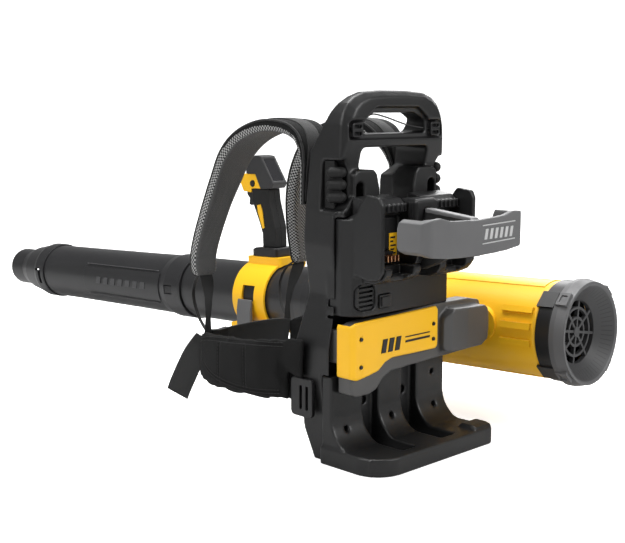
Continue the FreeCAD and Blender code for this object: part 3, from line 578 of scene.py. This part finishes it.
def round_rect(width, thickness, radius, steps):
    """Rounded rectangle profile, starting at the middle of the outer (negative) face."""
    points = [(0.0, -thickness / 2)]
    radius = min(radius, thickness / 2 * 0.98, width / 2 * 0.98)
    flat_x, flat_y = width / 2 - radius, thickness / 2 - radius
    for sign_x, sign_y, start in ((1, -1, -90), (1, 1, 0), (-1, 1, 90), (-1, -1, 180)):
        for step in range(steps + 1):
            angle = math.radians(start + 90 * step / steps)
            points.append((sign_x * flat_x + radius * math.cos(angle),
                           sign_y * flat_y + radius * math.sin(angle)))
        if sign_x > 0 and sign_y > 0:
            # extra points across the inner face
            for share in (0.8, 0.5, 0.2, 0.0, -0.2, -0.5, -0.8):
                points.append((flat_x * share, thickness / 2))
    return points


def bead(name, path, radius, body, slot, material, sides=8):
    """A round cord along a path."""
    dirs = []
    for i in range(len(path)):
        along = tangent(path, i)
        up = Vector((0, 0, 1)) if abs(along.z) < 0.9 else Vector((1, 0, 0))
        dirs.append(along.cross(up))
    circle = [(radius * math.cos(2 * math.pi * k / sides),
               radius * math.sin(2 * math.pi * k / sides)) for k in range(sides)]
    return add(name, sweep(name, path, dirs, lambda ring: circle), body, slot, material)


# where an outline's (a, b) and its depth c fall in x, y, z
PLANES = {"XZ": lambda a, b, c: (a, c, b), "YZ": lambda a, b, c: (c, a, b)}


def plate(name, outline, low, high, slot, material, bevel,
          plane="XZ", body="frame", matrix=None):
    """A thin bevelled plate from an outline, between two depths, all in mm."""
    place = PLANES[plane]
    bm = bmesh.new()
    face = bm.faces.new([bm.verts.new(mm(*place(a, b, low))) for a, b in outline])
    extruded = bmesh.ops.extrude_face_region(bm, geom=[face])
    moved = [item for item in extruded["geom"] if isinstance(item, bmesh.types.BMVert)]
    bmesh.ops.translate(bm, verts=moved, vec=mm(*place(0, 0, high - low)))
    bmesh.ops.recalc_face_normals(bm, faces=bm.faces)
    bmesh.ops.bevel(bm, geom=list(bm.edges), offset=bevel, segments=2, affect="EDGES",
                    profile=0.6, clamp_overlap=True)
    mesh = bpy.data.meshes.new(name)
    bm.to_mesh(mesh)
    bm.free()
    if matrix is not None:
        mesh.transform(matrix)
    return add(name, mesh, body, slot, material)


def tree_of(mesh):
    bm = bmesh.new()
    bm.from_mesh(mesh)
    tree = BVHTree.FromBMesh(bm)
    bm.free()
    return tree


# ------------------------------------------------------------------ moulded pieces
COARSEN = 1.0
# node, voxel size (m), smoothing rounds
FRAME_PIECES = (
    ("back_frame", 0.0016, 16), ("base_foot", 0.0016, 12), ("battery_dock", 0.0014, 5),
    ("battery_bumper", 0.0013, 6), ("support_arm", 0.0015, 6), ("yellow_cover", 0.0013, 12),
    ("grip_bumpers", 0.0010, 4), ("belt_loops", 0.0010, 6), ("belt_buckle", 0.0008, 6),
    ("battery_trays", 0.0011, 4), ("battery_rails", 0.0011, 3), ("strap_adjusters", 0.0007, 3),
)
# the same, remeshed square to the blower's own frame
BLOWER_PIECES = (
    ("control_pod", 0.0009, 6), ("nose_cap", 0.0008, 5), ("grip_left", 0.0009, 8),
    ("grip_right", 0.0009, 8), ("handle_base", 0.0009, 6), ("trigger", 0.0006, 4),
    ("clamp_lever", 0.0008, 5),
)


def soften(node, voxel, rounds, matrix=None):
    """A copy of a moulded CAD piece with its sharp edges run over, standing for that node."""
    mesh = remeshed(node, voxel, rounds, None if matrix is None else matrix.inverted())
    if matrix is not None:
        mesh.transform(matrix)
    smooth(mesh)
    mesh.name = node + "_moulded"
    piece = add(node + "_moulded", mesh, BODY[node], SLOT[node], material_of(node))
    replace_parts(piece, node)


for pieces, matrix in ((FRAME_PIECES, None), (BLOWER_PIECES, BLOWER)):
    for node, voxel, rounds in pieces:
        soften(node, voxel * COARSEN, rounds, matrix)

# ------------------------------------------------------------------ shoulder straps
# x, y, z and thickness in mm, width as a share of STRAP_WIDTH; from the frame, over the
# shoulder and down to the tip in front; x is for the right-hand strap
STRAP_STATIONS = (
    (92, 71, 352, 10, 0.48), (92, 70, 380, 10, 0.50), (90, 70, 404, 11, 0.56),
    (84, 75, 428, 14, 0.76), (78, 88, 446, 17, 0.96), (76, 110, 456, 18, 1.0),
    (76, 150, 458, 18, 1.0), (76, 188, 449, 18, 0.98), (76, 219, 433, 18, 0.94),
    (77, 243, 410, 19, 0.86), (78, 262, 378, 19, 0.78), (83, 276, 344, 19, 0.70),
    (90, 285, 310, 19, 0.66), (97, 290, 280, 19, 0.64), (102, 291, 255, 19, 0.63),
    (103, 288, 230, 18, 0.62),
)
# turn about Z in degrees, spread evenly along the strap and scaled by STRAP_TURN_SHARE
STRAP_TURN = (0, 0, 0, 0, 0, 4, 8, 12, 15, 18, 20, 20, 20, 20, 20)
STRAP_TURN_SHARE = 0.6
STRAP_WIDTH = 0.060
STRAP_CORNER = 0.0062
SIDE_WALLS = (5, 22)        # profile points that begin the two side walls
TIP_RINGS = 5               # rings drawn in to round the tip
INNER_HALF_WIDTH = 0.026    # the mesh on the wearer's side
INNER_DEPTH = 0.0042
WRAP_EDGE = 0.0020          # how far the nylon wraps towards the wearer
WRAP_DROP = 0.0066          # how much less it wraps farther along
WRAP_SHARE = 0.30           # share of the length where that starts, and over which it runs
BAND_START, BAND_END = 2, 8     # rings left bare at each end of the outer band


def strap_profile(width, thickness):
    """A rounded rectangle with extra points up both side walls."""
    points = round_rect(width, thickness, STRAP_CORNER, 4)
    result = []
    for i, (a, b) in enumerate(points):
        result.append((a, b))
        if i in SIDE_WALLS:
            end = points[i + 1]
            result += [(a + (end[0] - a) * share, b + (end[1] - b) * share)
                       for share in (0.17, 0.33, 0.5, 0.67, 0.83)]
    return result


def shoulder_strap(side, sign):
    path = catmull([mm(sign * x, y, z) for x, y, z, _, _ in STRAP_STATIONS], 9)
    count = len(path)
    widths = spread([row[4] * STRAP_WIDTH for row in STRAP_STATIONS], count)
    thicks = spread([row[3] / 1000 for row in STRAP_STATIONS], count)
    turns = spread(STRAP_TURN, count)
    for k in range(TIP_RINGS):
        share = math.sqrt(1 - ((TIP_RINGS - k) / 5.2) ** 2)
        widths[count - 1 - k] *= 0.55 + 0.45 * share
        thicks[count - 1 - k] *= 0.6 + 0.4 * share
    dirs = [Matrix.Rotation(math.radians(sign * turn * STRAP_TURN_SHARE), 3, "Z")
            @ Vector((1, 0, 0)) for turn in turns]

    def profile_at(ring):
        return strap_profile(widths[ring], thicks[ring])

    middle = profile_at(count // 2)

    def zone_at(ring, point):
        """0 nylon outside, 1 mesh on the side walls, 2 mesh on the wearer's side."""
        start, end = middle[point], middle[(point + 1) % len(middle)]
        across, depth = (start[0] + end[0]) / 2, (start[1] + end[1]) / 2
        share = ring / count
        wrap = WRAP_EDGE
        if share >= WRAP_SHARE:
            wrap -= WRAP_DROP * min(1.0, (share - WRAP_SHARE) / WRAP_SHARE)
        if depth < wrap:
            return 0
        if depth > INNER_DEPTH and abs(across) < INNER_HALF_WIDTH:
            return 2
        return 1

    name = "shoulder_strap_%s_pad" % side
    pad = add(name, sweep(name, path, dirs, profile_at, zone_at), "frame", "mesh_fabric",
              "nylon_fabric", "mesh_dots", "mesh_chevron" if side == "right" else "mesh_fabric")
    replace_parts(pad, "shoulder_strap_" + side)

    axes = [cross_axes(path, i, dirs[i]) for i in range(count)]
    for edge in (-1, 1):
        line = [path[i] + width * edge * (widths[i] / 2 - 0.0012)
                - normal * (thicks[i] / 2 - 0.0016)
                for i, (width, normal) in enumerate(axes)]
        bead("strap_piping_%s_%s" % (side, "in" if edge * sign < 0 else "out"), line,
             0.0017, "frame", "webbing", "webbing")

    # a band of webbing along the outside face
    rings = range(BAND_START, count - BAND_END)
    line = [path[i] - axes[i][1] * (thicks[i] / 2 + 0.0006) for i in rings]
    flat = round_rect(0.024, 0.0016, 0.0007, 2)
    name = "strap_band_" + side
    mesh = sweep(name, line, [dirs[i] for i in rings], lambda ring: flat)
    add(name, mesh, "frame", "webbing", "webbing")


for side, sign in SIDES:
    shoulder_strap(side, sign)


# ------------------------------------------------------------------ cloth pieces
def vectors(mesh, key):
    return np.array([getattr(v, key)[:] for v in mesh.vertices])


def puff(node, voxel, pressure, cap, frames=20):
    """Fills a sewn piece out under a little pressure, no point moving more than cap."""
    start = remeshed(node, voxel, 3)
    piece = scratch(start)
    rest = vectors(start, "co")
    cloth = piece.modifiers.new("cloth", "CLOTH")
    settings = cloth.settings
    settings.use_pressure = True
    settings.uniform_pressure_force = pressure
    settings.effector_weights.gravity = 0.0
    settings.quality = 4
    settings.mass = 0.3
    settings.tension_stiffness = 25
    settings.compression_stiffness = 25
    settings.bending_stiffness = 1.5
    cloth.point_cache.frame_start = 1
    cloth.point_cache.frame_end = frames
    for number in range(1, frames + 1):
        scene.frame_set(number)
    filled = evaluated(piece)
    scene.frame_set(1)
    move = vectors(filled, "co") - rest
    length = np.linalg.norm(move, axis=1)
    keep = np.where(length > cap, cap / np.maximum(length, 1e-9), 1.0)
    filled.vertices.foreach_set("co", (rest + move * keep[:, None]).ravel())
    piece.modifiers.clear()
    piece.data = filled
    finer = piece.modifiers.new("subdivide", "SUBSURF")
    finer.levels = 1
    finer.render_levels = 1
    result = evaluated(piece)
    discard(piece)
    return result


def groove(mesh, lines, depth, radius):
    """Seams: points near a line are drawn in along their normals."""
    mesh.update()
    points = vectors(mesh, "co")
    normals = vectors(mesh, "normal")
    pull = np.zeros(len(points))
    for line in lines:
        line = np.array([tuple(p) for p in line])
        nearest = np.full(len(points), 1e9)
        for a, b in zip(line[:-1], line[1:]):
            ab = b - a
            t = np.clip(((points - a) @ ab) / max(ab @ ab, 1e-12), 0, 1)
            nearest = np.minimum(nearest,
                                 np.linalg.norm(points - (a + t[:, None] * ab), axis=1))
        pull = np.maximum(pull, np.exp(-(nearest / radius) ** 2))
    points = points - normals * (pull * depth)[:, None]
    mesh.vertices.foreach_set("co", points.ravel())
    mesh.update()


def on_surface(tree, line, outward, lift=0.0):
    """Drops points onto the surface from outside."""
    outward = Vector(outward)
    landed = []
    for point in line:
        hit, normal, _, _ = tree.ray_cast(point + outward * 0.08, -outward)
        if hit is not None:
            landed.append(hit + normal * lift)
    return landed


def stitches(name, points, step=0.0052, length=0.0034, radius=0.00042):
    """A run of short threads along a line."""
    bm = bmesh.new()
    total, spans = 0.0, []
    for a, b in zip(points[:-1], points[1:]):
        span = (b - a).length
        spans.append((total, span, a, b))
        total += span
    place = 0.0
    while place + length < total:
        for start, span, a, b in spans:
            if start <= place < start + span and span > 1e-6:
                along = (b - a) / span
                foot = a + along * (place - start)
                matrix = (Matrix.Translation(foot + along * length / 2)
                          @ along.to_track_quat("Z", "Y").to_matrix().to_4x4())
                bmesh.ops.create_cone(bm, cap_ends=True, segments=6, radius1=radius,
                                      radius2=radius, depth=length, matrix=matrix)
                break
        place += step
    mesh = bpy.data.meshes.new(name)
    bm.to_mesh(mesh)
    bm.free()
    smooth(mesh)
    add(name, mesh, "frame", "nylon_fabric", "thread")


# seams of a hip belt wing, seen from the side: (y, z) in metres, then the direction in
# which the two rows of stitches stand apart
BELT_SEAMS = (
    # along the top
    (((0.080, 0.158), (0.130, 0.154), (0.190, 0.147), (0.250, 0.140), (0.292, 0.130)),
     (0, 0, 1)),
    # round the front end and back along the bottom
    (((0.296, 0.128), (0.286, 0.112), (0.270, 0.100), (0.245, 0.091), (0.215, 0.086),
      (0.150, 0.084), (0.085, 0.090)), (0, 0, 1)),
    # two upright seams
    (((0.150, 0.150), (0.150, 0.13), (0.150, 0.11), (0.150, 0.085)), (0, 1, 0)),
    (((0.215, 0.142), (0.215, 0.12), (0.215, 0.10), (0.215, 0.082)), (0, 1, 0)),
)
SEAM_START_X = 0.16     # the seams are dropped inwards from this far out
SEAM_LEAST_X = 0.03     # points that land nearer the middle are left out of the groove
STITCH_OFFSET = 0.0026


def hip_belt(side, sign):
    node = "hip_belt_" + side
    outward = (sign, 0, 0)
    mesh = puff(node, voxel=0.0045, pressure=3.5, cap=0.006)
    seams = [(catmull([Vector((sign * SEAM_START_X, y, z)) for y, z in points], 14), apart)
             for points, apart in BELT_SEAMS]
    tree = tree_of(mesh)
    lines = [[p for p in on_surface(tree, line, outward) if abs(p.x) > SEAM_LEAST_X]
             for line, _ in seams]
    groove(mesh, lines, depth=0.0016, radius=0.0030)
    smooth(mesh)
    mesh.name = node + "_sewn"
    belt = add(node + "_sewn", mesh, "frame", "nylon_fabric", "nylon_fabric")
    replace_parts(belt, node)
    tree = tree_of(mesh)
    for k, (line, apart) in enumerate(seams):
        for row, offset in enumerate((STITCH_OFFSET, -STITCH_OFFSET)):
            shift = Vector(apart) * offset
            points = on_surface(tree, [p + shift for p in line], outward, 0.0003)
            if len(points) > 3:
                stitches("belt_stitch_%s_%d_%d" % (side, k, row), points)


def back_pad():
    half_width, face_y = 0.08, 0.080
    mesh = puff("back_pad", voxel=0.0055, pressure=4.0, cap=0.008)
    quilt = [[(-half_width, face_y, z), (half_width, face_y, z)]
             for z in (0.165, 0.215, 0.265, 0.305)]
    quilt.append([(0, face_y, 0.13), (0, face_y, 0.33)])
    # rounded to single precision, like the mesh's own points
    groove(mesh, [[Vector(p) for p in line] for line in quilt], depth=0.0035, radius=0.008)
    # UVs are x and z in metres, so the mesh pattern reads on the wearer's side
    layer = mesh.uv_layers[0] if mesh.uv_layers else mesh.uv_layers.new(name="UVMap")
    points = vectors(mesh, "co")
    corners = np.zeros(len(mesh.loops), int)
    mesh.loops.foreach_get("vertex_index", corners)
    layer.data.foreach_set("uv", np.c_[points[corners, 0], points[corners, 2]].ravel())
    smooth(mesh)
    pad = add("back_pad_sewn", mesh, "frame", "mesh_fabric", "mesh_fabric")
    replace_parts(pad, "back_pad")


for side, sign in SIDES:
    hip_belt(side, sign)
back_pad()

# ------------------------------------------------------------------ webbing
# each table of stations: x, y, z, width in mm
TAIL = ((-102, 291, 131, 30), (-104, 299, 119, 34), (-104, 319, 95, 37),
        (-103, 339, 67, 38), (-102, 354, 45, 38), (-101, 364, 29, 38))
TAIL_DIRS = ((0.42, -0.62, 0.0), (0.45, -0.72, -0.05), (0.45, -0.78, -0.20),
             (0.45, -0.80, -0.24), (0.45, -0.82, -0.24), (0.45, -0.82, -0.24))
FRONT = ((-46, 305.2, 118, 40), (-10, 306.6, 119, 40), (30, 306.6, 119, 40),
         (70, 305.2, 117, 40), (88, 303.5, 114, 38))
FRONT_END = ((-76, 305.2, 118, 36), (-82, 305.2, 118, 38), (-88, 303.0, 117, 38))
# the rest are for the right-hand side
WING = ((103, 112, 98, 44), (107, 96, 97.5, 46), (108, 78, 97, 46), (107, 58, 96.5, 45),
        (104, 44, 96, 44))
STRAP_WEB = ((100, 289, 232, 20), (94, 292, 214, 19), (88, 298, 190, 13),
             (85, 303, 160, 8), (85, 304, 134, 12))
STRAP_WEB_DIRS = ((0.9, -0.3, 0), (0.8, -0.5, 0), (0.4, -0.9, 0), (0.7, -0.6, 0),
                  (0.9, -0.4, 0))
STRAP_LOOP = ((101, 292, 236, 7), (96, 318, 218, 6.5), (92, 330, 190, 6),
              (88, 322, 158, 6), (86, 306, 138, 6))
UPRIGHT = (0, 0, 1)
CROSSWISE = (1, 0, 0)


def ribbon(name, stations, dirs, thick=0.0017, material="webbing", sign=1):
    """A flat strip; dirs gives its width direction at each station."""
    path = catmull([mm(sign * x, y, z) for x, y, z, _ in stations], 8)
    count = len(path)
    widths = spread([row[3] / 1000 for row in stations], count)
    dirs = [Vector(d) for d in dirs]
    width_dirs = []
    for place in np.linspace(0, len(dirs) - 1, count):
        i = min(int(place), len(dirs) - 2)
        width_dirs.append(dirs[i].lerp(dirs[i + 1], place - i))
    mesh = sweep(name, path, width_dirs, lambda i: round_rect(widths[i], thick, 0.0007, 2))
    return add(name, mesh, "frame", material, material)


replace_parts(ribbon("belt_tail", TAIL, TAIL_DIRS), "harness_webbing")
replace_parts(ribbon("belt_front", FRONT, [UPRIGHT] * 5, thick=0.0030), "harness_webbing")
for side, sign in SIDES:
    ribbon("belt_wing_" + side, WING, [UPRIGHT] * 5, thick=0.0030, material="nylon_fabric",
           sign=sign)
ribbon("belt_front_end", FRONT_END, [UPRIGHT] * 3, thick=0.0026)
for side, sign in SIDES:
    strip = ribbon("strap_web_" + side, STRAP_WEB, STRAP_WEB_DIRS, sign=sign)
    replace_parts(strip, "harness_webbing")
    ribbon("strap_loop_" + side, STRAP_LOOP, [CROSSWISE] * 5, thick=0.0013, sign=sign)

# cord across the hand hole at the top of the frame: x, y, z in mm
TOP_CORD = ((-76, -8, 453), (-50, 6, 466), (-20, 20, 474), (10, 22, 470), (45, 8, 458),
            (76, -8, 453))
bead("top_cord", catmull([mm(*p) for p in TOP_CORD], 8), 0.0011, "frame", "webbing", "cord",
     sides=6)


# ------------------------------------------------------------------ plain relief marks, in mm
def slant(x, z, width, height, lean):
    """A parallelogram standing on (x, z), its top moved along by lean."""
    return [(x, z), (x + width, z), (x + width + lean, z + height), (x + lean, z + height)]


def cover_marks():
    for k in range(3):
        plate("cover_mark_%d" % k, slant(-58 + 14 * k, 152, 9, 19, 4), -36.2, -35.0,
              "yellow_plastic", "mark_dark", bevel=0.0003)
    for name, z, height, lean in (("cover_line", 160, 3.0, 1), ("cover_line2", 167, 1.6, 0.5)):
        plate(name, slant(-8, z, 52, height, lean), -36.0, -35.0,
              "yellow_plastic", "mark_dark", bevel=0.0002)


BUMPER_DEPTHS = (-151.8, -150.6)


def bumper_lines():
    left, right, height = 8, 80, 1.5
    for name, z, rise in (("bumper_line_hi", 330, 1.5), ("bumper_line_lo", 306, 2)):
        outline = [(left, z), (right, z + rise), (right, z + rise + height), (left, z + height)]
        plate(name, outline, *BUMPER_DEPTHS, "grey_plastic", "mark_light", bevel=0.0002)


def bay_plate():
    """A yellow plate with plain dark bars, in the left bay."""
    plate("bay_plate", slant(-39, 282, 16, 33, 0), -31.0, -29.9,
          "dock_plastic", "yellow_plastic", bevel=0.0003)
    for k, width in enumerate((11, 8, 11, 6, 10)):
        plate("bay_plate_bar_%d" % k, slant(-37, 286 + 5.4 * k, width, 2.4, 0), -31.3, -30.9,
              "dock_plastic", "mark_dark", bevel=0.0001)


def tube_relief_and_highlight():
    """Raised bars on the -X side of the blow tube, and the lips of its long flat panel; the lips
    are real ridges whose lighter colour is a painted highlight along the panel's edges.
    """
    for k in range(7):
        plate("tube_bar_%d" % k, slant(836 + 26 * k, -7, 15, 14, -3), -62.6, -60.2,
              "tube_plastic", "tube_relief_and_highlight", bevel=0.0003, plane="YZ",
              body="front_tube_body", matrix=BLOWER)
    half_height, lift = 33.0, 0.2
    # place along the tube, tube radius
    stations = ((796, 62.0), (860, 61.8), (920, 61.5), (980, 61.3), (1050, 61.0))
    # real ridges, coloured lighter as a painted highlight on the panel's edges
    for name, edge in (("low", -1), ("high", 1)):
        line = [BLOWER @ mm(-math.sqrt(radius * radius - half_height ** 2) - lift, y,
                            edge * half_height) for y, radius in stations]
        bead("tube_panel_lip_" + name, catmull(line, 6), 0.0011, "front_tube_body",
             "tube_plastic", "tube_relief_and_highlight")


def bumper_bars():
    for k in range(6):
        plate("bumper_bar_%d" % k, slant(12 + 11 * k, 312, 6, 14, 3), *BUMPER_DEPTHS,
              "grey_plastic", "mark_light", bevel=0.0003)


cover_marks()
bumper_lines()
bay_plate()
tube_relief_and_highlight()
bumper_bars()


# ------------------------------------------------------------------ camera, light, floor
def aim(piece, direction):
    piece.rotation_mode = "QUATERNION"
    piece.rotation_quaternion = Vector(direction).to_track_quat("-Z", "Y")


def camera():
    lens = bpy.data.cameras.new("cam")
    lens.lens = 63.516
    lens.sensor_width = 36.0
    lens.sensor_fit = "HORIZONTAL"
    piece = bpy.data.objects.new("cam", lens)
    scene.collection.objects.link(piece)
    piece.location = (-1.150855, -1.017757, 0.484307)
    aim(piece, (0.6920, 0.7066, -0.1479))
    scene.camera = piece


def area(name, place, target, size, power):
    light = bpy.data.lights.new(name, "AREA")
    light.shape = "RECTANGLE"
    light.size, light.size_y = size
    light.energy = power
    light.color = (1, 1, 1)
    piece = bpy.data.objects.new(name, light)
    scene.collection.objects.link(piece)
    piece.location = place
    aim(piece, Vector(target) - Vector(place))


def world_light():
    """White to the camera, dimmer as a light."""
    world = bpy.data.worlds.new("w")
    scene.world = world
    world.use_nodes = True
    graph = Graph(world.node_tree, "Background")
    camera_ray = graph.node("LightPath").outputs["Is Camera Ray"]
    graph.shade({"Color": (1, 1, 1, 1), "Strength": graph.remap(camera_ray, 0.30, 1.0)})


def floor_paint():
    """Near white to the camera, mid grey in the light it bounces."""
    graph = new_material("floor_paint")
    camera_ray = graph.node("LightPath").outputs["Is Camera Ray"]
    graph.shade({
        "Base Color": graph.ramp(camera_ray, (0.0, (0.50, 0.50, 0.50)),
                                 (1.0, (0.93, 0.93, 0.93))),
        "Emission Color": (1, 1, 1, 1),
        "Emission Strength": graph.calc("MULTIPLY", camera_ray, 0.62),
        "Roughness": 0.9,
        "Specular IOR Level": 0.1,
    })


def floor_sweep():
    """A pale floor, curve and back wall, turned to face the camera."""
    near, bend_start, bend_radius, top = -4.5, 2.6, 1.6, 5.0
    half_width = 7.0
    level = -0.0003     # just under the frame's foot
    bend_steps = 12
    forward = Vector((0.6997, 0.7144, 0))
    right = Vector((forward.y, -forward.x, 0))
    profile = [(near, level), (bend_start, level)]      # distance, z
    for k in range(1, bend_steps + 1):
        angle = math.radians(90 * k / bend_steps)
        profile.append((bend_start + bend_radius * math.sin(angle),
                        level + bend_radius * (1 - math.cos(angle))))
    profile.append((bend_start + bend_radius, top))
    verts = [tuple(forward * distance + right * across + Vector((0.1, 0.3, z)))
             for distance, z in profile for across in (-half_width, half_width)]
    faces = [(2 * i, 2 * i + 1, 2 * i + 3, 2 * i + 2) for i in range(len(profile) - 1)]
    mesh = bpy.data.meshes.new("floor")
    mesh.from_pydata(verts, [], faces)
    smooth(mesh)
    floor = bpy.data.objects.new("floor", mesh)
    scene.collection.objects.link(floor)
    floor_paint()
    mesh.materials.append(MATERIALS["floor_paint"])


camera()
area("key", (-2.6, 0.3, 2.1), target=(0.0, 0.2, 0.25), size=(1.3, 1.3), power=52)
area("fill", (0.9, -2.6, 1.7), target=(0.1, 0.0, 0.25), size=(1.2, 1.2), power=55)
area("top", (0.2, 0.5, 2.8), target=(0.1, 0.3, 0.2), size=(1.6, 1.6), power=108)
area("rim", (2.2, 1.2, 1.6), target=(0.2, 0.3, 0.3), size=(1.0, 1.6), power=26)
world_light()
floor_sweep()
scene.view_settings.view_transform = "Standard"
scene.view_settings.look = "None"
scene.view_settings.exposure = 0.0
